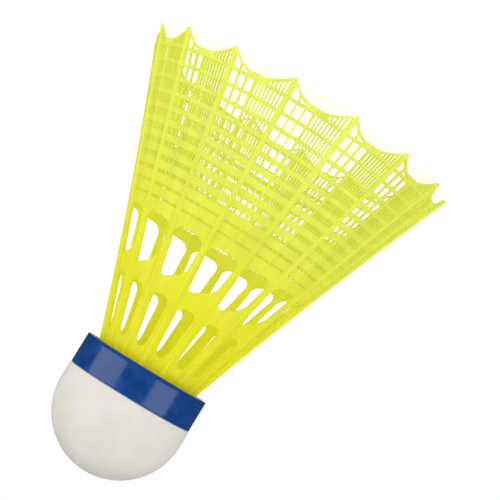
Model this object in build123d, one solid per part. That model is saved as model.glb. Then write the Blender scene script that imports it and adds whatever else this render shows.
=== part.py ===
"""Badminton shuttlecock with a moulded skirt.

It stands on the tips of its rim, nose up. The origin is the centre of the tip circle
and +Z runs along the axis towards the nose.
"""
from build123d import *
from math import cos, radians, sin
import os

# Skirt: overall sizes
SKIRT_LENGTH = 56.0  # from the rim tips to the flat top of the head
RIM_DIAMETER = 64.0  # circle through the outside of the rim tips
SIDE_BOW = 0.5  # how far the side is drawn inwards half way along
WALL = 0.5

# Skirt: ribs and rim
RIB_COUNT = 16
RIB_WIDTH = 1.1
RIB_PROUD = 0.35
TIP_MARGIN = 0.05  # flat on each rim tip, beyond each side of the rib
SCALLOP_DEPTH = 2.5
RIM_RING_WIDTH = 0.7
RING_PROUD = 0.2

# Skirt: neck gaps, solid ring and windows, placed by their distance from the head
GAP_START = 3.0
GAP_LENGTH = 9.8
STEM_LEDGE = 0.45  # wall left between a neck gap and the rib beside it
GAP_HEAD_CORNER = 0.9
GAP_RING_CORNER = 1.2
SOLID_RING_WIDTH = 2.6
WINDOW_LENGTH = 9.5
HEAD_LEDGE = 0.4  # wall left between a window and the rib beside it, at the head end
RIM_LEDGE = 0.1  # the same at the rim end
WINDOW_SLANT = 2.3  # the edge near the head is lower on one side by this much
WINDOW_HEAD_CORNER = 0.7
WINDOW_RIM_CORNER = 1.3

# Skirt: closed flange that seats on the head, and hollow spigot inside it
SPIGOT_DIAMETER = 17.0
SPIGOT_WALL = 1.6
SPIGOT_LENGTH = 10.0
FLANGE_LEDGE = 1.6  # flange beyond the spigot, out to the outside of the neck
FLANGE_THICKNESS = 1.4
VENT_DIAMETER = 2.4  # lets the air out of the spigot as it is glued in

# Head
HEAD_DIAMETER = 26.0
HEAD_LENGTH = 22.5
COVER_THICKNESS = 0.6
COVER_UNDER_BAND = 0.3  # the skin is pressed thinner there
BAND_WIDTH = 6.2
BAND_THICKNESS = 0.3

# Fits
GLUE_FILM = 0.15
SOCKET_END_GAP = 0.3

# Derived sizes
PITCH = 360.0 / RIB_COUNT
TIP_WIDTH = RIB_WIDTH + 2 * TIP_MARGIN
STEM_WIDTH = RIB_WIDTH + 2 * STEM_LEDGE
HEAD_BAR = RIB_WIDTH + 2 * HEAD_LEDGE
RIM_BAR = RIB_WIDTH + 2 * RIM_LEDGE
HALF_PITCH = PITCH / 2
RIM_RADIUS = RIM_DIAMETER / 2
SPIGOT_RADIUS = SPIGOT_DIAMETER / 2
NECK_RADIUS = SPIGOT_RADIUS + FLANGE_LEDGE
SOCKET_RADIUS = SPIGOT_RADIUS + GLUE_FILM
HEAD_RADIUS = HEAD_DIAMETER / 2
CORE_RADIUS = HEAD_RADIUS - COVER_THICKNESS
BAND_SEAT_RADIUS = CORE_RADIUS + COVER_UNDER_BAND
DOME_CENTRE = SKIRT_LENGTH + HEAD_LENGTH - HEAD_RADIUS
BAND_END = SKIRT_LENGTH + BAND_WIDTH
NOSE = SKIRT_LENGTH + HEAD_LENGTH
GAP_END = GAP_START + GAP_LENGTH
WINDOW_START = GAP_END + SOLID_RING_WIDTH
CUT_REACH = RIM_RADIUS  # radial depth of every cutter, from its start radius


def wall_radius(height):
    """Outside radius of the skirt's wall at a height above the rim tips."""
    along = height / SKIRT_LENGTH
    straight = RIM_RADIUS + (NECK_RADIUS - RIM_RADIUS) * along
    return straight - 4 * SIDE_BOW * along * (1 - along)


def panel_width(height):
    """Straight distance between neighbouring rib centres on the wall's outside."""
    return 2 * wall_radius(height) * sin(radians(HALF_PITCH))


def below_head(distance):
    """Height of a place given by its distance from the flat top of the head."""
    return SKIRT_LENGTH - distance


def wall_curve(offset):
    """The skirt's side, moved outwards by an offset."""
    middle = SKIRT_LENGTH / 2
    return ThreePointArc(
        (RIM_RADIUS + offset, 0),
        (wall_radius(middle) + offset, middle),
        (NECK_RADIUS + offset, SKIRT_LENGTH),
    )


def side_face(outer_offset, inner_offset):
    """Section along the skirt's side, between two curves that follow it."""
    outer = wall_curve(outer_offset)
    inner = wall_curve(inner_offset)
    rim_edge = Line(outer @ 0, inner @ 0)
    neck_edge = Line(outer @ 1, inner @ 1)
    return Plane.XZ * make_face([outer, neck_edge, inner, rim_edge])


def ring(inner_radius, outer_radius, low, high):
    """Plain ring about the axis."""
    outside = Cylinder(outer_radius, high - low, align=(Align.CENTER, Align.CENTER, Align.MIN))
    inside = Cylinder(inner_radius, high - low, align=(Align.CENTER, Align.CENTER, Align.MIN))
    return Pos(0, 0, low) * (outside - inside)


def around(shape):
    """Copies of one panel's shape, one for every panel."""
    return [Rot(0, 0, index * PITCH) * shape for index in range(RIB_COUNT)]


def panel_plane(start_radius):
    """Plane across the middle of a panel: X along the rim, Y up, normal outwards."""
    angle = radians(HALF_PITCH)
    outwards = Vector(cos(angle), sin(angle), 0)
    along_rim = Vector(-sin(angle), cos(angle), 0)
    return Plane(origin=outwards * start_radius, x_dir=along_rim, z_dir=outwards)


def rib():
    """One rib, standing proud of the wall from rim tip to flange."""
    return extrude(side_face(RIB_PROUD, -WALL), RIB_WIDTH / 2, both=True)


def rim_ring():
    """Low ring that joins the bottoms of the scallops."""
    low = SCALLOP_DEPTH
    high = SCALLOP_DEPTH + RIM_RING_WIDTH
    corners = [
        (wall_radius(low) + RING_PROUD, low),
        (wall_radius(high) + RING_PROUD, high),
        (wall_radius(high) - WALL / 2, high),
        (wall_radius(low) - WALL / 2, low),
    ]
    return revolve(Plane.XZ * make_face(Polyline(*corners, close=True)), Axis.Z)


def scallop_cutter():
    """Round cutter that leaves a pointed tip at each rib and a hollow between them."""
    half_width = (panel_width(0) - TIP_WIDTH) / 2
    radius = (half_width**2 + SCALLOP_DEPTH**2) / (2 * SCALLOP_DEPTH)
    outline = Pos(0, SCALLOP_DEPTH - radius) * Circle(radius)
    return extrude(panel_plane(RIM_RADIUS / 2) * outline, CUT_REACH)


def panel_cutter(outline):
    """Cutter through the wall at the middle of a panel."""
    return extrude(panel_plane(NECK_RADIUS / 2) * outline, CUT_REACH)


def window_cutter():
    """Tapered window between two ribs, slanted at the end nearer the head."""
    head_end = below_head(WINDOW_START)
    rim_end = below_head(WINDOW_START + WINDOW_LENGTH)
    half_head = (panel_width(head_end) - HEAD_BAR) / 2
    half_rim = (panel_width(rim_end) - RIM_BAR) / 2
    low_left = (-half_rim, rim_end)
    low_right = (half_rim, rim_end)
    high_right = (half_head, head_end)
    high_left = (-half_head, head_end - WINDOW_SLANT)
    outline = make_face(Polyline(low_left, low_right, high_right, high_left, close=True))
    by_height = outline.vertices().sort_by(Axis.Y)
    outline = fillet(by_height[:2], WINDOW_RIM_CORNER)
    by_height = outline.vertices().sort_by(Axis.Y)
    outline = fillet(by_height[-1], WINDOW_HEAD_CORNER)
    return panel_cutter(outline)


def gap_cutter():
    """Tapered gap between two stems of the neck, with round ends."""
    head_end = below_head(GAP_START)
    ring_end = below_head(GAP_END)
    half_head = (panel_width(head_end) - STEM_WIDTH) / 2
    half_ring = (panel_width(ring_end) - STEM_WIDTH) / 2
    corners = [
        (-half_head, head_end),
        (half_head, head_end),
        (half_ring, ring_end),
        (-half_ring, ring_end),
    ]
    outline = make_face(Polyline(*corners, close=True))
    by_height = outline.vertices().sort_by(Axis.Y)
    outline = fillet(by_height[:2], GAP_RING_CORNER)
    by_height = outline.vertices().sort_by(Axis.Y)
    outline = fillet(by_height[-2:], GAP_HEAD_CORNER)
    return panel_cutter(outline)


def make_skirt():
    """The moulding: side wall, ribs, rim, flange and spigot."""
    side = revolve(side_face(0, -WALL), Axis.Z)
    bore_radius = SPIGOT_RADIUS - SPIGOT_WALL
    flange = ring(VENT_DIAMETER / 2, NECK_RADIUS, below_head(FLANGE_THICKNESS), SKIRT_LENGTH)
    spigot = ring(bore_radius, SPIGOT_RADIUS, SKIRT_LENGTH, SKIRT_LENGTH + SPIGOT_LENGTH)
    solid = side + around(rib()) + rim_ring()
    solid = solid - around(scallop_cutter()) - around(window_cutter()) - around(gap_cutter())
    return solid + flange + spigot


def make_glue_ring():
    """Adhesive film between the spigot and the socket."""
    return ring(SPIGOT_RADIUS, SOCKET_RADIUS, SKIRT_LENGTH, SKIRT_LENGTH + SPIGOT_LENGTH)


def dome_profile(radius):
    """Quarter circle from the side of the head to the nose."""
    return CenterArc((0, DOME_CENTRE), radius, 0, 90)


def make_core():
    """Cork of the head, with the blind socket."""
    dome = dome_profile(CORE_RADIUS)
    socket_end = SKIRT_LENGTH + SPIGOT_LENGTH + SOCKET_END_GAP
    outline = Polyline(
        dome @ 1,
        (0, socket_end),
        (SOCKET_RADIUS, socket_end),
        (SOCKET_RADIUS, SKIRT_LENGTH),
        (CORE_RADIUS, SKIRT_LENGTH),
        dome @ 0,
    )
    return revolve(Plane.XZ * make_face([dome, outline]), Axis.Z)


def make_cover():
    """Skin over the core, stepped in where the band lies on it."""
    inner = dome_profile(CORE_RADIUS)
    outer = dome_profile(HEAD_RADIUS)
    nose_edge = Line(inner @ 1, outer @ 1)
    outline = Polyline(
        outer @ 0,
        (HEAD_RADIUS, BAND_END),
        (BAND_SEAT_RADIUS, BAND_END),
        (BAND_SEAT_RADIUS, SKIRT_LENGTH),
        (CORE_RADIUS, SKIRT_LENGTH),
        inner @ 0,
    )
    return revolve(Plane.XZ * make_face([outer, nose_edge, inner, outline]), Axis.Z)


def make_band():
    """Tape round the top of the head."""
    return ring(BAND_SEAT_RADIUS, BAND_SEAT_RADIUS + BAND_THICKNESS, SKIRT_LENGTH, BAND_END)


def main():
    """Write every node's solid."""
    os.makedirs("parts", exist_ok=True)
    nodes = {
        "skirt": make_skirt(),
        "glue_ring": make_glue_ring(),
        "cork_core": make_core(),
        "nose_cover": make_cover(),
        "band": make_band(),
    }
    for name, shape in nodes.items():
        export_step(shape, f"parts/{name}.step")


main()
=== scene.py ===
"""Badminton shuttlecock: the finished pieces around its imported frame, and the studio it stands in."""
import math

import bmesh
import bpy
from bpy.props import FloatProperty, FloatVectorProperty, IntProperty, PointerProperty
from mathutils import Matrix, Vector


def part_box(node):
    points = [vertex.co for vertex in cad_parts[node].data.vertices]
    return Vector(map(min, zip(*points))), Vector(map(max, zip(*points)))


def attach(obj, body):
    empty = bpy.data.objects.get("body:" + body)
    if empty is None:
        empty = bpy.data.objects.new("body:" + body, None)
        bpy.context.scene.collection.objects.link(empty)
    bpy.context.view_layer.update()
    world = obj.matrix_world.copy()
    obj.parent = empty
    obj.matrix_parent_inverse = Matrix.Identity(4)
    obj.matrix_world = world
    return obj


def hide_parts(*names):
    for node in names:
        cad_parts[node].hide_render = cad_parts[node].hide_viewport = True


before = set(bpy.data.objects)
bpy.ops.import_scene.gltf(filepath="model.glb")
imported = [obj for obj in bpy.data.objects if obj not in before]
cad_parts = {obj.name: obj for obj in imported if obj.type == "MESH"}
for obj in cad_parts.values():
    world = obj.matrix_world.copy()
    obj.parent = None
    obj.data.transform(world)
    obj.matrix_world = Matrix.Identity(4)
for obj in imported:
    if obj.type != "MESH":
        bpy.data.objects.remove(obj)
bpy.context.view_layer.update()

bl_info = {
    "name": "Shuttlecock",
    "version": (1, 0, 0),
    "blender": (4, 5, 0),
    "location": "View3D > Sidebar > Shuttlecock",
    "description": "Builds a badminton shuttlecock with a net skirt, a covered head and a taped band",
    "category": "Add Mesh",
}

MM = 0.001

# Places that the frame sets
BAND_LOW, BAND_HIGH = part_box("band")
CORE_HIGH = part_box("cork_core")[1]
COVER_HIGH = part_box("nose_cover")[1]
GLUE_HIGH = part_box("glue_ring")[1]
SKIRT_LOW, SKIRT_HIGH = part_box("skirt")
SEAT = BAND_LOW[2]
BAND_END = BAND_HIGH[2]
HEAD_RADIUS = COVER_HIGH[0]
CORE_RADIUS = CORE_HIGH[0]
NOSE = COVER_HIGH[2]
DOME_CENTRE = NOSE - HEAD_RADIUS
SOCKET_RADIUS = GLUE_HIGH[0]
SPIGOT_END = GLUE_HIGH[2]
SKIRT_RADIUS = SKIRT_HIGH[0]

# How the net of one panel is divided, from rib centre to rib centre
FINE_SLOTS = 8
OPEN_HOLES = 3
RIB_CELLS = 2
FINE_CELLS = 2 * FINE_SLOTS - 1
SECOND_RIB_CELLS = 2
OPEN_CELLS = 2 * OPEN_HOLES - 1
INNER_CELLS = FINE_CELLS + SECOND_RIB_CELLS + OPEN_CELLS
COLUMNS = INNER_CELLS + 2 * RIB_CELLS
OPEN_START = FINE_CELLS + SECOND_RIB_CELLS
MIDDLE = INNER_CELLS / 2

# How it is divided from rim to head
NET_ROWS = 11
NET_START = 3
NET_END = NET_START + 2 * NET_ROWS - 1
WINDOW_START = NET_END + 1
WINDOW_END = WINDOW_START + 3
GAP_START = WINDOW_END + 2
GAP_END = GAP_START + 4
ROWS = GAP_END + 1
SECOND_RIB_COLUMN = RIB_CELLS + FINE_CELLS + 1
RIM_RING_ROW = 2.5
SOLID_RING_ROW = WINDOW_END + 1
FRINGE_FINE_END = 8
FRINGE_OPEN_START = INNER_CELLS - 3

# Small shapes, and how finely they are divided
CREST_SHARE = 0.6
CREST_HEIGHT = 0.8
GENTLE_SHARE = 0.45
STEEP_START = 0.70
SCALLOP_POWER = 1.6
CORNER_POWER = 5.0
HEAD_CORNER_SHARE = 0.6
GAP_CORNER_POWER = 3.5
NECK_RIB_GROWTH = 0.6
RING_SEGMENTS = 96
WELD_DISTANCE = 0.002 * MM
EDGE_SOFTENING = 0.05 * MM
TAPE_START = math.radians(75)
TAPE_CLIMB = math.radians(10)
TAPE_GAP = 0.01 * MM
TAPE_STEPS = 150
TAPE_ROWS = 8
TAPE_EDGE_SHARE = 0.45
GLUE_FILM = 0.15 * MM
COVER_SEGMENTS = 128
COVER_SIDE_STEPS = 6
DOME_OUTSIDE_STEPS = 40
DOME_INSIDE_STEPS = 24
TUCK = 0.02 * MM
LIP_RADIUS = 0.35 * MM
LIP_CLEARANCE = 0.06 * MM
LIP_ANGLES = (15, 35, 55, 72, 90)
MERGE_DISTANCE = 0.001 * MM
SHORTEST_EDGE = 0.0005 * MM
SHARP_ANGLE = math.radians(40)

# Finishes
NYLON_TRANSLUCENCY = 0.50
# Painted glow: the nylon emits light in its own colour, which brightens it beyond what the lamps give
NYLON_GLOW = 0.15
THIN_MARGIN = 8 * MM
WORN_TIP_HEIGHT = 1.1 * MM
WORN_TIP = (0.93, 0.94, 0.62)
NOSE_GRIME_REACH = 7 * MM
BAND_GRIME_REACH = 1.6 * MM
COVER_GRIME = (0.40, 0.36, 0.31)
CUT_EDGE_WIDTH = 0.22 * MM
TAPE_CUT_EDGE = (0.10, 0.20, 0.42)
CORK_GRAINS = 1300.0
CORK_PORE = (0.09, 0.05, 0.025)
DARK_ADHESIVE = (0.62, 0.44, 0.16)
PALE_ADHESIVE = (0.80, 0.66, 0.34)
ADHESIVE_BUBBLE = (0.88, 0.80, 0.60)
SMALLEST_RADIUS = 0.1 * MM

# Studio
AIM_SHARE = 0.40
AIM_RIGHT = 6.6 * MM
AIM_UP = 1.2 * MM
FLOOR_REACH = 12.0
FLOOR_LEVEL = -0.02 * MM
FLOOR_GLOW = 0.80
WORLD_SEEN = 1.0
WORLD_LIGHT = 0.78
WORLD_IN_GLOSS = 0.05
FLOOR_IN_GLOSS = 0.05
LAMP_RADIANCE = 1.5
LAMP_HEIGHT = 0.6
LAMP_DISTANCE = 0.55
LAMP_ELEVATION = math.radians(8)
# Name, angle from the camera and width of each lamp
LAMPS = (("left_box", math.radians(60), 0.60), ("right_box", math.radians(-46), 0.44))


# ---------------------------------------------------------------- sizes and colours


class SkirtSettings(bpy.types.PropertyGroup):
    """Sizes and colours of the moulded skirt."""

    panels: IntProperty(name="Panels", description="Panels between the ribs", default=16, min=3)
    neck_radius: FloatProperty(
        name="Neck Radius", description="Outside of the wall where it meets the head",
        default=10.1 * MM, unit="LENGTH",
    )
    side_bow: FloatProperty(
        name="Side Bow", description="How far the side is drawn inwards half way along",
        default=0.5 * MM, unit="LENGTH",
    )
    wall: FloatProperty(
        name="Wall", description="Thickness of the net and wall",
        default=0.5 * MM, unit="LENGTH",
    )
    rib_width: FloatProperty(
        name="Rib Width", description="Width of a main rib",
        default=1.1 * MM, unit="LENGTH",
    )
    rib_height: FloatProperty(
        name="Rib Height", description="How far a main rib stands out",
        default=0.35 * MM, unit="LENGTH",
    )
    second_rib_height: FloatProperty(
        name="Second Rib Height", description="How far the thin rib stands out",
        default=0.16 * MM, unit="LENGTH",
    )
    scallop_depth: FloatProperty(
        name="Scallop Depth", description="Depth of the hollows between rim tips",
        default=2.5 * MM, unit="LENGTH",
    )
    hole_height: FloatProperty(
        name="Hole Height", description="Height of the net holes nearest the rim",
        default=2.15 * MM, unit="LENGTH",
    )
    row_pitch: FloatProperty(
        name="Row Pitch", description="Distance between the first rows of net holes",
        default=2.62 * MM, unit="LENGTH",
    )
    colour: FloatVectorProperty(
        name="Colour", description="Nylon where it is thick",
        subtype="COLOR", size=3, default=(0.83, 0.82, 0.028),
    )
    thin_colour: FloatVectorProperty(
        name="Thin Colour", description="Nylon where it is thin",
        subtype="COLOR", size=3, default=(0.82, 0.86, 0.16),
    )


class HeadSettings(bpy.types.PropertyGroup):
    """Sizes and colours of the covered head and its band."""

    cover_wall: FloatProperty(
        name="Cover", description="Thickness of the skin",
        default=0.6 * MM, unit="LENGTH",
    )
    tape: FloatProperty(
        name="Tape", description="Thickness of the band's tape",
        default=0.16 * MM, unit="LENGTH",
    )
    tape_overlap: FloatProperty(
        name="Tape Overlap", description="Angle by which the tape's ends overlap",
        default=math.radians(24), subtype="ANGLE",
    )
    cover_colour: FloatVectorProperty(
        name="Cover Colour", description="Off-white skin",
        subtype="COLOR", size=3, default=(0.64, 0.615, 0.565),
    )
    band_colour: FloatVectorProperty(
        name="Band Colour", description="Blue tape",
        subtype="COLOR", size=3, default=(0.0005, 0.042, 0.20),
    )
    cork_colour: FloatVectorProperty(
        name="Cork Colour", description="Bare cork",
        subtype="COLOR", size=3, default=(0.50, 0.33, 0.18),
    )


class StageSettings(bpy.types.PropertyGroup):
    """Camera, floor and light."""

    azimuth: FloatProperty(
        name="Azimuth", description="Camera's turn about the axis",
        default=math.radians(-7.14), subtype="ANGLE",
    )
    elevation: FloatProperty(
        name="Elevation", description="Camera's height angle",
        default=math.radians(3.66), subtype="ANGLE",
    )
    roll: FloatProperty(
        name="Roll", description="Turn of the picture, which leans the axis",
        default=math.radians(211.3), subtype="ANGLE",
    )
    distance: FloatProperty(
        name="Distance", description="Camera to the middle of the axis",
        default=290 * MM, unit="LENGTH",
    )
    lens: FloatProperty(name="Lens", description="Focal length in millimetres", default=110.0, unit="CAMERA")
    floor_colour: FloatVectorProperty(
        name="Floor Colour", description="Pale floor",
        subtype="COLOR", size=3, default=(0.40, 0.40, 0.40),
    )


# ---------------------------------------------------------------- node helpers


def link_value(tree, socket, value):
    """Give a node's input a number, a vector, a socket or a Field."""
    if isinstance(value, Field):
        value = value.socket
    if isinstance(value, bpy.types.NodeSocket):
        tree.links.new(value, socket)
    else:
        socket.default_value = value


def add_node(tree, kind, inputs=None, **settings):
    """Add a node, with its settings and inputs by name or place."""
    node = tree.nodes.new(kind)
    for name, value in settings.items():
        setattr(node, name, value)
    for name, value in (inputs or {}).items():
        link_value(tree, node.inputs[name], value)
    return node


class Field:
    """A number in a node tree that formulas treat as an ordinary number."""

    def __init__(self, tree, socket):
        self.tree = tree
        self.socket = socket

    def math(self, operation, *others):
        """Math node with this number first."""
        node = add_node(self.tree, "ShaderNodeMath", dict(enumerate((self, *others))), operation=operation)
        return Field(self.tree, node.outputs[0])

    def __add__(self, other):
        return self.math("ADD", other)

    def __radd__(self, other):
        return self.math("ADD", other)

    def __sub__(self, other):
        return self.math("SUBTRACT", other)

    def __rsub__(self, other):
        return (self * -1) + other

    def __mul__(self, other):
        return self.math("MULTIPLY", other)

    def __rmul__(self, other):
        return self.math("MULTIPLY", other)

    def __truediv__(self, other):
        return self.math("DIVIDE", other)

    def __rtruediv__(self, other):
        return (self**-1) * other

    def __lt__(self, other):
        return self.math("LESS_THAN", other)

    def __gt__(self, other):
        return self.math("GREATER_THAN", other)

    def __mod__(self, other):
        return self.math("MODULO", other)

    def __pow__(self, other):
        return self.math("POWER", other)

    def __abs__(self):
        return self.math("ABSOLUTE")

    def floor(self):
        """Whole part."""
        return self.math("FLOOR")

    def at_least(self, other):
        """The larger of two numbers."""
        return self.math("MAXIMUM", other)

    def at_most(self, other):
        """The smaller of two numbers."""
        return self.math("MINIMUM", other)

    def between(self, low, high):
        """This number kept within two limits."""
        return self.at_least(low).at_most(high)

    def odd(self):
        """1 for an odd whole number and 0 for an even one."""
        return (self % 2).math("ROUND")


def choose(condition, yes, no):
    """yes where the condition is 1 and no where it is 0."""
    return no + (yes - no) * condition


def new_tree(name):
    """Geometry node tree with a geometry output."""
    tree = bpy.data.node_groups.new(name, "GeometryNodeTree")
    tree.interface.new_socket("Geometry", in_out="OUTPUT", socket_type="NodeSocketGeometry")
    return tree


def size_input(tree, group_input, name, default):
    """Named input of a tree, as a Field."""
    kind = "NodeSocketInt" if isinstance(default, int) else "NodeSocketFloat"
    socket = tree.interface.new_socket(name, in_out="INPUT", socket_type=kind)
    socket.default_value = default
    return Field(tree, group_input.outputs[name])


def tree_sizes(tree, defaults):
    """Named inputs of a tree, as Fields."""
    group_input = tree.nodes.new("NodeGroupInput")
    return {name: size_input(tree, group_input, name, value) for name, value in defaults.items()}


def plain_mesh(name, tree, values, add_modifiers):
    """The mesh that a tree and some more modifiers make, on a new object with no modifiers."""
    maker = bpy.data.objects.new(name + ".maker", bpy.data.meshes.new(name + ".maker"))
    bpy.context.scene.collection.objects.link(maker)
    modifier = maker.modifiers.new("Shape", "NODES")
    modifier.node_group = tree
    for item in tree.interface.items_tree:
        if item.in_out == "INPUT":
            modifier[item.identifier] = values[item.name]
    add_modifiers(maker)
    evaluated = maker.evaluated_get(bpy.context.evaluated_depsgraph_get())
    mesh = bpy.data.meshes.new_from_object(evaluated)
    bpy.data.objects.remove(maker)
    if not mesh.polygons:
        raise RuntimeError(f"{name}: the node tree made no faces")
    mesh.name = name
    piece = bpy.data.objects.new(name, mesh)
    bpy.context.scene.collection.objects.link(piece)
    return piece


# ---------------------------------------------------------------- skirt


def panel_share(column, row, size, panel_width):
    """Place across a panel, 0 to 1, of a line of the grid."""
    rib = size["Rib Width"] / 2 / panel_width
    inner = (column - RIB_CELLS).between(0, INNER_CELLS)
    from_middle = abs(inner - MIDDLE)
    side = (inner - MIDDLE).math("SIGN")
    width = panel_width - size["Rib Width"]

    pair = size["Fine Share"] / (size["Fine Slot Share"] + FINE_SLOTS - 1)
    fine = (inner / 2).floor() * pair + (inner % 2) * pair * size["Fine Slot Share"]
    second = size["Fine Share"] + size["Second Rib Share"] * (inner - FINE_CELLS) / SECOND_RIB_CELLS
    past = (inner - OPEN_START).at_least(0)
    open_width = 1 - size["Fine Share"] - size["Second Rib Share"]
    bar = size["Open Bar Share"]
    hole = (open_width - bar * (OPEN_HOLES - 1)) / OPEN_HOLES
    clear = (1 - open_width) + (past / 2).floor() * (hole + bar) + (past % 2) * hole
    net = choose(inner < FINE_CELLS + 0.5, fine, choose(inner < OPEN_START - 0.5, second, clear))

    along_window = ((row - WINDOW_START) / (WINDOW_END - WINDOW_START)).between(0, 1)
    window_ledge = choose(along_window, size["Window Head Ledge"], size["Window Rim Ledge"])
    ledge = choose(row < WINDOW_END + 0.5, window_ledge, size["Stem Ledge"]) / width
    reach = MIDDLE - 1
    across = (0.5 - ledge) * from_middle.at_most(reach) / reach + ledge * (from_middle - reach).at_least(0)
    opening = 0.5 + side * across

    share = choose(row < NET_END + 0.5, net, opening)
    return rib * rib_rise(column) + (1 - rib * 2) * share + rib * (1 - rib_rise(COLUMNS - column))


def rib_rise(cells):
    """How far from the rib's centre to its foot, 0 to 1, a line of the grid lies."""
    first = cells.between(0, 1)
    second = (cells - 1).between(0, 1)
    return first * CREST_SHARE + second * (1 - CREST_SHARE)


def level_height(row, size):
    """Height of a line of the grid above the rim tips, before it is shaped."""
    rim = row * size["Edge Wire"] + (row - 1).between(0, 1) * (size["Rim Ring Start"] - size["Edge Wire"] * 2)
    step = (row - NET_START).between(0, NET_END - NET_START)
    index = (step / 2).floor()
    centre = size["First Row"] + size["Row Pitch"] * index - size["Row Closing"] * index * index
    half = (size["Hole Height"] - size["Hole Closing"] * index) / 2
    net = centre - half + half * 2 * (step % 2)
    window = ((row - WINDOW_START) / (WINDOW_END - WINDOW_START)).between(0, 1)
    ring = ((row - WINDOW_END) / (GAP_START - WINDOW_END)).between(0, 1)
    gap = ((row - GAP_START) / (GAP_END - GAP_START)).between(0, 1)
    collar = (row - GAP_END).between(0, 1)
    upper = (
        size["Window Start"]
        + (size["Window End"] - size["Window Start"]) * window
        + (size["Gap Start"] - size["Window End"]) * ring
        + (size["Gap End"] - size["Gap Start"]) * gap
        + (size["Length"] - size["Gap End"]) * collar
    )
    return choose(row < NET_START - 0.5, rim, choose(row < NET_END + 0.5, net, upper))


def shape_offset(column, row, share, size):
    """How far the scallops, window ends and gap ends move a line of the grid."""
    gentle = (1 - share / GENTLE_SHARE).between(0, 1)
    steep = ((share - STEEP_START) / (1 - STEEP_START)).between(0, 1)
    scallop = size["Scallop Depth"] * (1 - gentle**SCALLOP_POWER - steep**SCALLOP_POWER)
    rim = scallop * (row < 1.5)

    from_middle = column - RIB_CELLS - MIDDLE
    across = (from_middle / (MIDDLE - 1)).between(-1, 1)
    corner = abs(across) ** CORNER_POWER
    window_rim = size["Window Corner"] * corner
    window_head = (across - 1) / 2 * size["Window Slant"] - size["Window Corner"] * corner * HEAD_CORNER_SHARE
    at_rim_side = 1 - abs(row - WINDOW_START).at_most(1)
    at_head_side = 1 - abs(row - WINDOW_END).at_most(1)
    off_rib_centre = (column.at_most(COLUMNS - column) / RIB_CELLS).at_most(1)

    gap_corner = abs(across) ** GAP_CORNER_POWER
    at_gap_start = 1 - abs(row - GAP_START).at_most(1)
    at_gap_end = 1 - abs(row - GAP_END).at_most(1)
    return (
        rim
        + window_rim * at_rim_side
        + window_head * at_head_side * off_rib_centre
        + size["Gap Ring Corner"] * gap_corner * at_gap_start
        - size["Gap Head Corner"] * gap_corner * at_gap_end
    )


def outside_height(column, row, along, size):
    """How far the outside of the moulding stands out from its wall."""
    to_rib = column.at_most(COLUMNS - column)
    crown = 1 - (1 - CREST_HEIGHT) * to_rib.between(0, 1) - CREST_HEIGHT * (to_rib - 1).between(0, 1)
    second = 1 - abs(column - SECOND_RIB_COLUMN).at_most(1)
    in_net = row < NET_END + 1.5
    rim_ring = 1 - abs(row - RIM_RING_ROW).at_most(1)
    ring = 1 - (abs(row - SOLID_RING_ROW) - 1).between(0, 1)
    growth = 1 + along * NECK_RIB_GROWTH
    proud = crown * size["Rib Height"] * growth
    return proud.at_least(second * size["Second Rib Height"] * in_net).at_least(
        (rim_ring + ring).at_most(1) * size["Ring Height"]
    )


def hole_faces(column, row):
    """1 on the faces of the grid that are holes in the moulding."""
    inner = column - RIB_CELLS
    fine_hole = (inner > -0.5) * (inner < FINE_CELLS - 0.5) * (1 - inner.odd())
    open_hole = (inner > OPEN_START - 0.5) * (inner < INNER_CELLS - 0.5) * inner.odd()
    net_column = fine_hole + open_hole
    net_row = (row > NET_START - 0.5) * (row < NET_END - 0.5) * row.odd()
    fringe = (row > 0.5) * (row < 1.5) * ((inner < FRINGE_FINE_END + 0.5) + (inner > FRINGE_OPEN_START - 0.5))
    window_row = (row > WINDOW_START - 0.5) * (row < WINDOW_END - 0.5)
    gap_row = (row > GAP_START - 0.5) * (row < GAP_END - 0.5)
    between_bars = (inner > 0.5) * (inner < INNER_CELLS - 1.5)
    return net_column * (net_row + fringe) + (window_row + gap_row) * between_bars


def grid_place(tree):
    """The column, row and side of the grid at a point or a face's middle."""
    position = add_node(tree, "GeometryNodeInputPosition")
    parts = add_node(tree, "ShaderNodeSeparateXYZ", {0: position.outputs[0]})
    return [Field(tree, socket) for socket in parts.outputs]


def ring_wall(tree, inner_radius, outer_radius, low, high):
    """Plain ring about the axis, as geometry."""
    width = outer_radius - inner_radius
    height = high - low
    circle = add_node(
        tree,
        "GeometryNodeCurvePrimitiveCircle",
        {"Resolution": RING_SEGMENTS, "Radius": (inner_radius + outer_radius) / 2},
    )
    section = add_node(
        tree, "GeometryNodeCurvePrimitiveQuadrilateral", {"Width": width, "Height": height}
    )
    swept = add_node(
        tree,
        "GeometryNodeCurveToMesh",
        {"Curve": circle.outputs["Curve"], "Profile Curve": section.outputs["Curve"], "Fill Caps": False},
    )
    lift = add_node(tree, "ShaderNodeCombineXYZ", {"Z": (low + high) / 2})
    moved = add_node(
        tree, "GeometryNodeTransform", {"Geometry": swept.outputs[0], "Translation": lift.outputs[0]}
    )
    return moved.outputs[0]


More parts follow.
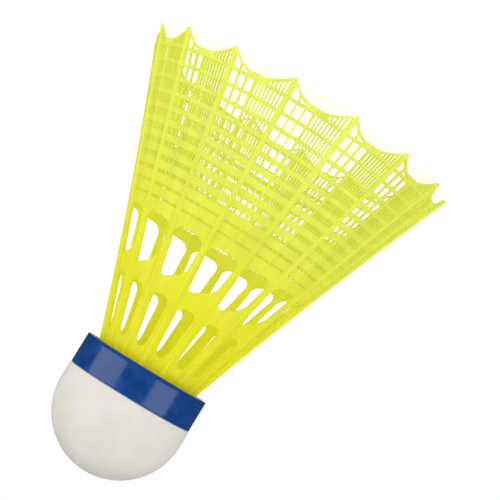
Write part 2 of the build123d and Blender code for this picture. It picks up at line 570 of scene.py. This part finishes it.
def skirt_tree(sizes, material):
    """Node tree of the whole moulding: one panel, copied round the axis, with its flange and spigot."""
    tree = new_tree("Shuttlecock skirt")
    size = tree_sizes(tree, sizes)
    grid = add_node(
        tree,
        "GeometryNodeMeshGrid",
        {"Size X": float(COLUMNS), "Size Y": float(ROWS), "Vertices X": COLUMNS + 1, "Vertices Y": ROWS + 1},
    )
    placed = add_node(
        tree,
        "GeometryNodeTransform",
        {"Geometry": grid.outputs[0], "Translation": Vector((COLUMNS / 2, ROWS / 2, 0))},
    )
    column, row = grid_place(tree)[:2]
    holes = hole_faces(column.floor(), row.floor())
    net = add_node(
        tree,
        "GeometryNodeDeleteGeometry",
        {"Geometry": placed.outputs[0], "Selection": holes > 0.5},
        domain="FACE",
    )
    outside = add_node(
        tree,
        "GeometryNodeExtrudeMesh",
        {"Mesh": net.outputs[0], "Offset": Vector((0, 0, 1)), "Offset Scale": 1.0, "Individual": False},
    )
    inside = add_node(tree, "GeometryNodeFlipFaces", {"Mesh": net.outputs[0]})
    shell = add_node(tree, "GeometryNodeJoinGeometry")
    tree.links.new(outside.outputs[0], shell.inputs[0])
    tree.links.new(inside.outputs[0], shell.inputs[0])
    welded = add_node(tree, "GeometryNodeMergeByDistance", {"Geometry": shell.outputs[0], "Distance": 0.01})
    seam = (column < 0.01) + (column > COLUMNS - 0.01)
    panel = add_node(
        tree,
        "GeometryNodeDeleteGeometry",
        {"Geometry": welded.outputs[0], "Selection": seam > 0.5},
        domain="FACE",
    )

    column, row, level = grid_place(tree)
    nominal = level_height(row, size)
    pitch = math.tau / size["Panels"]
    width = wall_radius(nominal, size) * (pitch / 2).math("SINE") * 2
    share = panel_share(column, row, size, width)
    height = (nominal + shape_offset(column, row, share, size)).between(0, size["Length"])
    along = height / size["Length"]
    inner_side = 0 - size["Wall"]
    outer_side = outside_height(column, row, along, size)
    radius = wall_radius(height, size) + choose(level > 0.5, outer_side, inner_side)
    angle = share * pitch
    place = add_node(
        tree,
        "ShaderNodeCombineXYZ",
        {"X": radius * angle.math("COSINE"), "Y": radius * angle.math("SINE"), "Z": height},
    )
    curved = add_node(
        tree, "GeometryNodeSetPosition", {"Geometry": panel.outputs[0], "Position": place.outputs[0]}
    )

    points = add_node(tree, "GeometryNodePoints", {"Count": size["Panels"]})
    index = Field(tree, add_node(tree, "GeometryNodeInputIndex").outputs[0])
    turn = add_node(tree, "ShaderNodeCombineXYZ", {"Z": index * pitch})
    copies = add_node(
        tree,
        "GeometryNodeInstanceOnPoints",
        {"Points": points.outputs[0], "Instance": curved.outputs[0], "Rotation": turn.outputs[0]},
    )
    whole = add_node(tree, "GeometryNodeRealizeInstances", {"Geometry": copies.outputs[0]})
    joined = add_node(
        tree, "GeometryNodeMergeByDistance", {"Geometry": whole.outputs[0], "Distance": WELD_DISTANCE}
    )
    flange_low = size["Length"] - size["Flange Thickness"]
    flange_radius = size["Neck Radius"] - size["Wall"] / 2
    flange = ring_wall(tree, size["Vent Radius"], flange_radius, flange_low, size["Length"])
    spigot_inside = size["Spigot Radius"] - size["Spigot Wall"]
    spigot = ring_wall(tree, spigot_inside, size["Spigot Radius"], size["Length"], size["Spigot End"])
    everything = add_node(tree, "GeometryNodeJoinGeometry")
    for part in (joined.outputs[0], flange, spigot):
        tree.links.new(part, everything.inputs[0])
    single = add_node(tree, "GeometryNodeRealizeInstances", {"Geometry": everything.outputs[0]})
    finished = add_node(
        tree, "GeometryNodeSetMaterial", {"Geometry": single.outputs[0], "Material": material}
    )
    output = add_node(tree, "NodeGroupOutput")
    tree.links.new(finished.outputs[0], output.inputs[0])
    return tree


def wall_radius(height, size):
    """Outside radius of the skirt's wall at a height."""
    along = height / size["Length"]
    straight = size["Tip Radius"] + (size["Neck Radius"] - size["Tip Radius"]) * along
    return straight - size["Side Bow"] * 4 * along * (1 - along)


def skirt_sizes(settings):
    """Every named input of the skirt's tree, from the settings and the frame."""
    return {
        "Panels": settings.panels,
        "Tip Radius": SKIRT_RADIUS - settings.rib_height,
        "Neck Radius": settings.neck_radius,
        "Length": SEAT,
        "Side Bow": settings.side_bow,
        "Wall": settings.wall,
        "Rib Width": settings.rib_width,
        "Rib Height": settings.rib_height,
        "Second Rib Height": settings.second_rib_height,
        "Ring Height": 0.14 * MM,
        "Fine Share": 0.50,
        "Fine Slot Share": 0.62,
        "Second Rib Share": 0.05,
        "Open Bar Share": 0.032,
        "Edge Wire": 0.45 * MM,
        "Scallop Depth": settings.scallop_depth,
        "Rim Ring Start": 3.2 * MM,
        "First Row": 4.8 * MM,
        "Row Pitch": settings.row_pitch,
        "Row Closing": 0.024 * MM,
        "Hole Height": settings.hole_height,
        "Hole Closing": 0.18 * MM,
        "Window Start": SEAT - 24.9 * MM,
        "Window End": SEAT - 15.4 * MM,
        "Window Slant": 2.3 * MM,
        "Window Corner": 1.3 * MM,
        "Window Head Ledge": 0.4 * MM,
        "Window Rim Ledge": 0.1 * MM,
        "Gap Start": SEAT - 12.8 * MM,
        "Gap End": SEAT - 3.0 * MM,
        "Gap Ring Corner": 1.1 * MM,
        "Gap Head Corner": 1.2 * MM,
        "Stem Ledge": 0.55 * MM,
        "Flange Thickness": 1.4 * MM,
        "Vent Radius": 1.2 * MM,
        "Spigot Radius": SOCKET_RADIUS - GLUE_FILM,
        "Spigot Wall": 1.6 * MM,
        "Spigot End": SPIGOT_END,
    }


def soften_edges(maker):
    """Small chamfer on every sharp edge, as a mould leaves."""
    bevel = maker.modifiers.new("Edges", "BEVEL")
    bevel.width = EDGE_SOFTENING
    bevel.segments = 1
    bevel.limit_method = "ANGLE"
    bevel.angle_limit = SHARP_ANGLE
    bevel.use_clamp_overlap = False
    bevel.harden_normals = True


class SHUTTLECOCK_OT_skirt(bpy.types.Operator):
    """Build the moulded net skirt with its ribs, windows, neck, flange and spigot."""

    bl_idname = "shuttlecock.skirt"
    bl_label = "Build Skirt"

    def execute(self, context):
        settings = context.scene.shuttlecock_skirt
        sizes = skirt_sizes(settings)
        material = nylon(settings)
        skirt = plain_mesh("skirt_moulding", skirt_tree(sizes, material), sizes, soften_edges)
        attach(skirt, "root")
        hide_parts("skirt")
        return {"FINISHED"}


# ---------------------------------------------------------------- materials


class Surface:
    """A material under construction, around one Principled shader."""

    def __init__(self, name, **values):
        self.material = bpy.data.materials.new(name)
        self.material.use_nodes = True
        self.tree = self.material.node_tree
        self.tree.nodes.clear()
        self.output = add_node(self.tree, "ShaderNodeOutputMaterial")
        self.shader = add_node(self.tree, "ShaderNodeBsdfPrincipled")
        for socket, value in values.items():
            self.shader.inputs[socket.replace("_", " ")].default_value = value
        self.tree.links.new(self.shader.outputs[0], self.output.inputs["Surface"])
        self.place = add_node(self.tree, "ShaderNodeTexCoord").outputs["Object"]

    def axes(self):
        """X, Y and Z of a point on the object."""
        parts = add_node(self.tree, "ShaderNodeSeparateXYZ", {0: self.place})
        return [Field(self.tree, socket) for socket in parts.outputs]

    def noise(self, scale, detail=3.0, place=None, roughness=0.5):
        """Noise, 0 to 1, with that many features in a metre."""
        node = add_node(
            self.tree,
            "ShaderNodeTexNoise",
            {"Vector": place or self.place, "Scale": scale, "Detail": detail, "Roughness": roughness},
        )
        return Field(self.tree, node.outputs[0])

    def cells(self, scale, feature="F1", output="Distance"):
        """Cell pattern with that many cells in a metre."""
        inputs = {"Vector": self.place, "Scale": scale}
        node = add_node(self.tree, "ShaderNodeTexVoronoi", inputs, feature=feature)
        return Field(self.tree, node.outputs[output])

    def ramp(self, value, low, high):
        """0 at low and 1 at high, with soft ends."""
        node = add_node(
            self.tree,
            "ShaderNodeMapRange",
            {"Value": value, "From Min": low, "From Max": high},
            interpolation_type="SMOOTHSTEP",
        )
        return Field(self.tree, node.outputs[0])

    def mix(self, share, first, second):
        """Mix of two colours."""
        node = add_node(self.tree, "ShaderNodeMix", {0: share}, data_type="RGBA")
        for place, colour in ((6, first), (7, second)):
            value = (*colour, 1.0) if isinstance(colour, (tuple, list)) else colour
            link_value(self.tree, node.inputs[place], value)
        return node.outputs[2]

    def tones(self, share, colour, dark, light):
        """Between a darker and a lighter tone of one colour."""
        return self.mix(share, tuple(c * dark for c in colour), tuple(c * light for c in colour))

    def set(self, name, value):
        """Feed one of the shader's inputs."""
        link_value(self.tree, self.shader.inputs[name], value)

    def bump(self, *layers):
        """Stack bump layers, each a height field, its depth in metres and its strength."""
        normal = None
        for height, depth, strength in layers:
            node = add_node(
                self.tree, "ShaderNodeBump", {"Height": height, "Distance": depth, "Strength": strength}
            )
            if normal:
                self.tree.links.new(normal, node.inputs["Normal"])
            normal = node.outputs[0]
        self.tree.links.new(normal, self.shader.inputs["Normal"])
        return normal


def polar_place(surface, around_scale, along_scale):
    """Coordinates that run round and along the axis, so that streaks follow the moulding."""
    x, y, z = surface.axes()
    radius = ((x * x + y * y) ** 0.5).at_least(SMALLEST_RADIUS)
    node = add_node(
        surface.tree,
        "ShaderNodeCombineXYZ",
        {"X": x / radius * around_scale, "Y": y / radius * around_scale, "Z": z * along_scale},
    )
    return node.outputs[0]


def nylon(settings):
    """Translucent yellow nylon with a painted glow in its own colour: paler towards the thin rim, with flow
    streaks and whitened tips.
    """
    surface = Surface(
        "shuttlecock_nylon", Roughness=0.36, IOR=1.53, Specular_IOR_Level=0.45, Emission_Strength=NYLON_GLOW
    )
    z = surface.axes()[2]
    thin = surface.ramp(z, SEAT - THIN_MARGIN, SKIRT_LOW[2] + THIN_MARGIN)
    streaks = surface.noise(1.0, 4.0, polar_place(surface, 9.0, 60.0), 0.55)
    mottle = surface.noise(260.0, 3.0)
    tint = surface.mix(thin, tuple(settings.colour), tuple(settings.thin_colour))
    deep = surface.mix(0.16, tint, tuple(c * 0.55 for c in settings.colour))
    varied = surface.mix(surface.ramp(streaks * 0.7 + mottle * 0.3, 0.35, 0.65), deep, tint)
    wear = surface.noise(900.0, 2.0)
    tips = surface.ramp(z, WORN_TIP_HEIGHT, 0.0) * surface.ramp(wear, 0.42, 0.66)
    colour = surface.mix(tips * 0.5, varied, WORN_TIP)
    surface.set("Base Color", colour)
    # Painted glow: the nylon's own colour is emitted as light
    surface.set("Emission Color", colour)
    surface.set("Roughness", surface.ramp(mottle, 0.3, 0.7) * 0.14 + 0.3)
    normal = surface.bump((surface.noise(1600.0, 2.0), 0.02 * MM, 0.5), (streaks, 0.05 * MM, 0.4))
    through = add_node(surface.tree, "ShaderNodeBsdfTranslucent", {"Color": colour, "Normal": normal})
    mixed = add_node(surface.tree, "ShaderNodeMixShader", {0: NYLON_TRANSLUCENCY})
    surface.tree.links.new(surface.shader.outputs[0], mixed.inputs[1])
    surface.tree.links.new(through.outputs[0], mixed.inputs[2])
    surface.tree.links.new(mixed.outputs[0], surface.output.inputs["Surface"])
    return surface.material


def cover_skin(settings):
    """Off-white synthetic leather: fine grain, faint mottling and a little grime at the nose and band."""
    surface = Surface("shuttlecock_cover", Roughness=0.55, IOR=1.47, Specular_IOR_Level=0.35)
    z = surface.axes()[2]
    mottle = surface.noise(190.0, 4.0)
    grime_noise = surface.noise(420.0, 5.0, roughness=0.65)
    nose = surface.ramp(z, NOSE - NOSE_GRIME_REACH, NOSE)
    beside_band = surface.ramp(z, BAND_END + BAND_GRIME_REACH, BAND_END)
    grime = (nose * 0.55 + beside_band * 0.7).at_most(1.0) * surface.ramp(grime_noise, 0.45, 0.75)
    tint = surface.tones(surface.ramp(mottle, 0.3, 0.7), settings.cover_colour, 0.955, 1.02)
    surface.set("Base Color", surface.mix(grime * 0.30, tint, COVER_GRIME))
    surface.set("Roughness", surface.ramp(mottle, 0.25, 0.75) * 0.12 + 0.48)
    grain = surface.cells(2600.0, "DISTANCE_TO_EDGE")
    surface.bump(
        (surface.ramp(grain, 0.0, 0.16), 0.03 * MM, 0.35),
        (surface.noise(5200.0, 3.0), 0.015 * MM, 0.35),
        (surface.noise(130.0, 2.0), 0.10 * MM, 0.35),
    )
    return surface.material


def band_tape(settings):
    """Glossy blue tape with a soft orange peel, faint smears and lighter cut edges."""
    surface = Surface("shuttlecock_band", Roughness=0.2, IOR=1.5, Coat_Weight=0.35, Coat_Roughness=0.08)
    z = surface.axes()[2]
    middle = (SEAT + BAND_END) / 2
    half = (BAND_END - SEAT) / 2
    cut_edge = surface.ramp(abs(z - middle), half - CUT_EDGE_WIDTH, half)
    smear = surface.noise(1.0, 4.0, polar_place(surface, 5.0, 500.0))
    tint = surface.tones(surface.ramp(smear, 0.35, 0.65), settings.band_colour, 0.88, 1.08)
    surface.set("Base Color", surface.mix(cut_edge * 0.35, tint, TAPE_CUT_EDGE))
    surface.set("Roughness", surface.ramp(smear, 0.3, 0.7) * 0.12 + 0.16)
    surface.bump((surface.noise(700.0, 2.0), 0.02 * MM, 0.25), (smear, 0.03 * MM, 0.2))
    return surface.material


def cork(settings):
    """Natural cork: grains of mixed browns with dark pores."""
    surface = Surface("shuttlecock_cork", Roughness=0.85)
    grain = surface.cells(CORK_GRAINS, output="Color")
    edge = surface.cells(CORK_GRAINS, "DISTANCE_TO_EDGE")
    pores = surface.noise(2400.0, 4.0, roughness=0.7)
    tone = add_node(surface.tree, "ShaderNodeSeparateColor", {0: grain}).outputs[0]
    tint = surface.tones(tone, settings.cork_colour, 0.72, 1.25)
    dark = surface.ramp(pores, 0.58, 0.68) * 0.8
    seams = 1 - surface.ramp(edge, 0.0, 0.08)
    colour = surface.mix((dark + seams * 0.45).at_most(1.0), tint, CORK_PORE)
    surface.set("Base Color", colour)
    surface.set("Roughness", surface.ramp(pores, 0.3, 0.7) * 0.15 + 0.78)
    surface.bump((surface.ramp(edge, 0.0, 0.2), 0.08 * MM, 0.5), (pores, 0.06 * MM, 0.5))
    return surface.material


def adhesive():
    """Set amber adhesive with small bubbles."""
    surface = Surface("shuttlecock_adhesive", Roughness=0.3, IOR=1.5)
    bubbles = surface.ramp(surface.cells(1500.0), 0.12, 0.2)
    clouds = surface.noise(500.0, 3.0)
    tint = surface.mix(clouds, DARK_ADHESIVE, PALE_ADHESIVE)
    surface.set("Base Color", surface.mix(bubbles, ADHESIVE_BUBBLE, tint))
    surface.set("Roughness", clouds * 0.2 + 0.22)
    surface.bump((bubbles, 0.04 * MM, 0.4))
    return surface.material


def pale_floor(settings):
    """Plain pale studio sheet with a very faint grain, dimmed in reflections as a black flag would."""
    surface = Surface("studio_floor", Roughness=0.75)
    base = tuple(settings.floor_colour)
    grain = surface.noise(60.0, 4.0)
    path = add_node(surface.tree, "ShaderNodeLightPath")
    in_gloss = Field(surface.tree, path.outputs["Is Glossy Ray"])
    sheet = surface.mix(grain, tuple(c * 0.985 for c in base), base)
    surface.set("Base Color", surface.mix(in_gloss, sheet, tuple(c * FLOOR_IN_GLOSS for c in base)))
    surface.set("Emission Strength", (1 - in_gloss) * FLOOR_GLOW)
    surface.shader.inputs["Emission Color"].default_value = (1.0, 1.0, 1.0, 1.0)
    return surface.material


# ---------------------------------------------------------------- head


def lathe(name, outline, segments):
    """Closed shell turned about Z from a closed outline of radius and height pairs."""
    vertices = []
    faces = []
    count = len(outline)
    for turn in range(segments):
        angle = math.tau * turn / segments
        for radius, height in outline:
            vertices.append((radius * math.cos(angle), radius * math.sin(angle), height))
        here = turn * count
        after = (turn + 1) % segments * count
        for step in range(count):
            onward = (step + 1) % count
            faces.append((here + step, after + step, after + onward, here + onward))
    return solid_piece(name, vertices, faces)


def solid_piece(name, vertices, faces):
    """Object with welded vertices and outward faces."""
    mesh = bpy.data.meshes.new(name)
    mesh.from_pydata(vertices, [], faces)
    shape = bmesh.new()
    shape.from_mesh(mesh)
    bmesh.ops.remove_doubles(shape, verts=shape.verts, dist=MERGE_DISTANCE)
    bmesh.ops.dissolve_degenerate(shape, edges=shape.edges, dist=SHORTEST_EDGE)
    loose = [edge for edge in shape.edges if not edge.link_faces]
    bmesh.ops.delete(shape, geom=loose, context="EDGES")
    bmesh.ops.recalc_face_normals(shape, faces=shape.faces)
    shape.to_mesh(mesh)
    shape.free()
    mesh.shade_smooth()
    piece = bpy.data.objects.new(name, mesh)
    bpy.context.scene.collection.objects.link(piece)
    return piece


def arc_points(radius, centre, start, end, steps):
    """Points of an arc, as radius and height pairs, by angles from the horizontal."""
    angles = [start + (end - start) * step / steps for step in range(steps + 1)]
    return [(max(radius * math.cos(a), 0.0), centre + radius * math.sin(a)) for a in angles]


def cover_outline(settings):
    """Section of the skin: under the band, round its rolled lip and over the dome."""
    seat_radius = HEAD_RADIUS - settings.cover_wall / 2 - TUCK
    lip_start = BAND_END + LIP_CLEARANCE
    outside = [(CORE_RADIUS, SEAT), (seat_radius, SEAT), (seat_radius, lip_start - TUCK)]
    for angle in map(math.radians, LIP_ANGLES):
        radius = HEAD_RADIUS - LIP_RADIUS * (1 - math.sin(angle))
        outside.append((radius, lip_start + LIP_RADIUS * (1 - math.cos(angle))))
    side_low = lip_start + LIP_RADIUS
    rise = (DOME_CENTRE - side_low) / COVER_SIDE_STEPS
    outside += [(HEAD_RADIUS, side_low + rise * step) for step in range(1, COVER_SIDE_STEPS)]
    outside += arc_points(HEAD_RADIUS, DOME_CENTRE, 0.0, math.pi / 2, DOME_OUTSIDE_STEPS)
    return outside + arc_points(CORE_RADIUS, DOME_CENTRE, math.pi / 2, 0.0, DOME_INSIDE_STEPS)


class SHUTTLECOCK_OT_cover(bpy.types.Operator):
    """Build the off-white skin over the head, with its lip at the band."""

    bl_idname = "shuttlecock.cover"
    bl_label = "Build Cover"

    def execute(self, context):
        settings = context.scene.shuttlecock_head
        cover = lathe("head_cover", cover_outline(settings), COVER_SEGMENTS)
        cover.data.materials.append(cover_skin(settings))
        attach(cover, "root")
        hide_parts("nose_cover")
        return {"FINISHED"}


def tape_section(tape):
    """Rounded section of the tape: distance out from the head and height."""
    edge = tape * TAPE_EDGE_SHARE
    low = SEAT
    high = BAND_END
    rise = (high - low - 2 * edge) / TAPE_ROWS
    section = [(0.0, low + edge), (edge, low), (tape - edge, low), (tape, low + edge)]
    section += [(tape, low + edge + rise * step) for step in range(1, TAPE_ROWS)]
    section += [(tape, high - edge), (tape - edge, high), (edge, high), (0.0, high - edge)]
    return section


def tape_piece(settings):
    """The tape wound round the head until its end lies over its start."""
    tape = settings.tape
    section = tape_section(tape)
    seat_radius = HEAD_RADIUS - settings.cover_wall / 2
    vertices = []
    count = len(section)
    for step in range(TAPE_STEPS + 1):
        turned = (math.tau + settings.tape_overlap) * step / TAPE_STEPS
        climb = min(1.0, max(0.0, (turned - math.tau + TAPE_CLIMB) / TAPE_CLIMB))
        inside = seat_radius + TAPE_GAP + (tape + TAPE_GAP) * climb * climb * (3 - 2 * climb)
        angle = TAPE_START + turned
        for out, height in section:
            vertices.append(((inside + out) * math.cos(angle), (inside + out) * math.sin(angle), height))
    faces = []
    for here in range(0, TAPE_STEPS * count, count):
        after = here + count
        for at in range(count):
            onward = (at + 1) % count
            faces.append((here + at, after + at, after + onward, here + onward))
    faces.append(tuple(range(count)))
    faces.append(tuple(TAPE_STEPS * count + at for at in reversed(range(count))))
    return solid_piece("blue_band", vertices, faces)


class SHUTTLECOCK_OT_band(bpy.types.Operator):
    """Wind the blue tape round the head."""

    bl_idname = "shuttlecock.band"
    bl_label = "Wind Band"

    def execute(self, context):
        settings = context.scene.shuttlecock_head
        band = tape_piece(settings)
        band.data.materials.append(band_tape(settings))
        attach(band, "root")
        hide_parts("band")
        return {"FINISHED"}


def finish_node(node, material):
    """Give a frame node's object its finished material."""
    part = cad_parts[node]
    part.data.materials.clear()
    part.data.materials.append(material)


class SHUTTLECOCK_OT_core(bpy.types.Operator):
    """Finish the cork core and the adhesive that holds the spigot in it."""

    bl_idname = "shuttlecock.core"
    bl_label = "Finish Core"

    def execute(self, context):
        settings = context.scene.shuttlecock_head
        finish_node("cork_core", cork(settings))
        finish_node("glue_ring", adhesive())
        return {"FINISHED"}


# ---------------------------------------------------------------- stage


def aim(thing, target, roll=0.0):
    """Turn a camera or lamp to look at a point, then roll it about its own axis."""
    look = Vector(target) - thing.location
    turn = look.to_track_quat("-Z", "Y").to_matrix().to_4x4()
    thing.matrix_world = Matrix.Translation(thing.location) @ turn @ Matrix.Rotation(roll, 4, "Z")


def direction(azimuth, elevation):
    """Unit vector from the object towards a viewer."""
    flat = math.cos(elevation)
    return Vector((math.sin(azimuth) * flat, -math.cos(azimuth) * flat, math.sin(elevation)))


def make_camera(settings, target):
    """Camera at the viewing angle, with the axis leaning across the picture."""
    data = bpy.data.cameras.new("camera")
    data.sensor_width = 36.0
    data.lens = settings.lens
    data.clip_start = 10 * MM
    camera = bpy.data.objects.new("camera", data)
    bpy.context.scene.collection.objects.link(camera)
    camera.location = target + direction(settings.azimuth, settings.elevation) * settings.distance
    aim(camera, target, settings.roll)
    right = camera.matrix_world.col[0].to_3d()
    up = camera.matrix_world.col[1].to_3d()
    aim(camera, target + right * AIM_RIGHT + up * AIM_UP, settings.roll)
    bpy.context.scene.camera = camera


def soft_box(name, settings, offset, width):
    """Rectangular lamp facing the object, at an angle from the camera."""
    data = bpy.data.lights.new(name, "AREA")
    data.shape = "RECTANGLE"
    data.size = width
    data.size_y = LAMP_HEIGHT
    data.energy = LAMP_RADIANCE * math.pi * width * LAMP_HEIGHT
    lamp = bpy.data.objects.new(name, data)
    bpy.context.scene.collection.objects.link(lamp)
    target = Vector((0, 0, NOSE / 2))
    lamp.location = target + direction(settings.azimuth + offset, LAMP_ELEVATION) * LAMP_DISTANCE
    aim(lamp, target)


def studio_world():
    """Even white surroundings, dimmer in reflections so that gloss keeps its contrast."""
    world = bpy.data.worlds.new("studio")
    bpy.context.scene.world = world
    world.use_nodes = True
    tree = world.node_tree
    tree.nodes.clear()
    path = add_node(tree, "ShaderNodeLightPath")
    camera_ray = Field(tree, path.outputs["Is Camera Ray"])
    glossy_ray = Field(tree, path.outputs["Is Glossy Ray"])
    lit = choose(glossy_ray, WORLD_IN_GLOSS, WORLD_LIGHT)
    strength = choose(camera_ray, WORLD_SEEN, lit)
    white = (1.0, 1.0, 1.0, 1.0)
    background = add_node(tree, "ShaderNodeBackground", {"Color": white, "Strength": strength})
    output = add_node(tree, "ShaderNodeOutputWorld")
    tree.links.new(background.outputs[0], output.inputs["Surface"])


class SHUTTLECOCK_OT_stage(bpy.types.Operator):
    """Set the camera, the pale floor and the soft light."""

    bl_idname = "shuttlecock.stage"
    bl_label = "Set Stage"

    def execute(self, context):
        settings = context.scene.shuttlecock_stage
        make_camera(settings, Vector((0, 0, NOSE * AIM_SHARE)))
        for name, offset, width in LAMPS:
            soft_box(name, settings, offset, width)
        studio_world()
        signs = ((-1, -1), (1, -1), (1, 1), (-1, 1))
        corners = [(x * FLOOR_REACH, y * FLOOR_REACH, FLOOR_LEVEL) for x, y in signs]
        floor = solid_piece("studio_floor", corners, [(0, 1, 2, 3)])
        floor.data.materials.append(pale_floor(settings))
        context.scene.view_settings.view_transform = "Standard"
        context.scene.view_settings.look = "None"
        return {"FINISHED"}


# ---------------------------------------------------------------- panel and registration


class SHUTTLECOCK_PT_panel(bpy.types.Panel):
    """Buttons for the pieces and the stage."""

    bl_idname = "SHUTTLECOCK_PT_panel"
    bl_label = "Shuttlecock"
    bl_space_type = "VIEW_3D"
    bl_region_type = "UI"
    bl_category = "Shuttlecock"

    def draw(self, context):
        for operator in OPERATORS:
            self.layout.operator(operator.bl_idname)


OPERATORS = (
    SHUTTLECOCK_OT_stage,
    SHUTTLECOCK_OT_skirt,
    SHUTTLECOCK_OT_cover,
    SHUTTLECOCK_OT_band,
    SHUTTLECOCK_OT_core,
)
SETTINGS = {
    "shuttlecock_skirt": SkirtSettings,
    "shuttlecock_head": HeadSettings,
    "shuttlecock_stage": StageSettings,
}
CLASSES = (*SETTINGS.values(), *OPERATORS, SHUTTLECOCK_PT_panel)


def register():
    """Add the classes and the scene's settings."""
    for item in CLASSES:
        bpy.utils.register_class(item)
    for name, group in SETTINGS.items():
        setattr(bpy.types.Scene, name, PointerProperty(type=group))


def unregister():
    """Take them away again."""
    for name in SETTINGS:
        delattr(bpy.types.Scene, name)
    for item in reversed(CLASSES):
        bpy.utils.unregister_class(item)


def main():
    """Build every piece in order."""
    register()
    bpy.ops.shuttlecock.stage()
    bpy.ops.shuttlecock.skirt()
    bpy.ops.shuttlecock.cover()
    bpy.ops.shuttlecock.band()
    bpy.ops.shuttlecock.core()


if __name__ == "__main__":
    main()
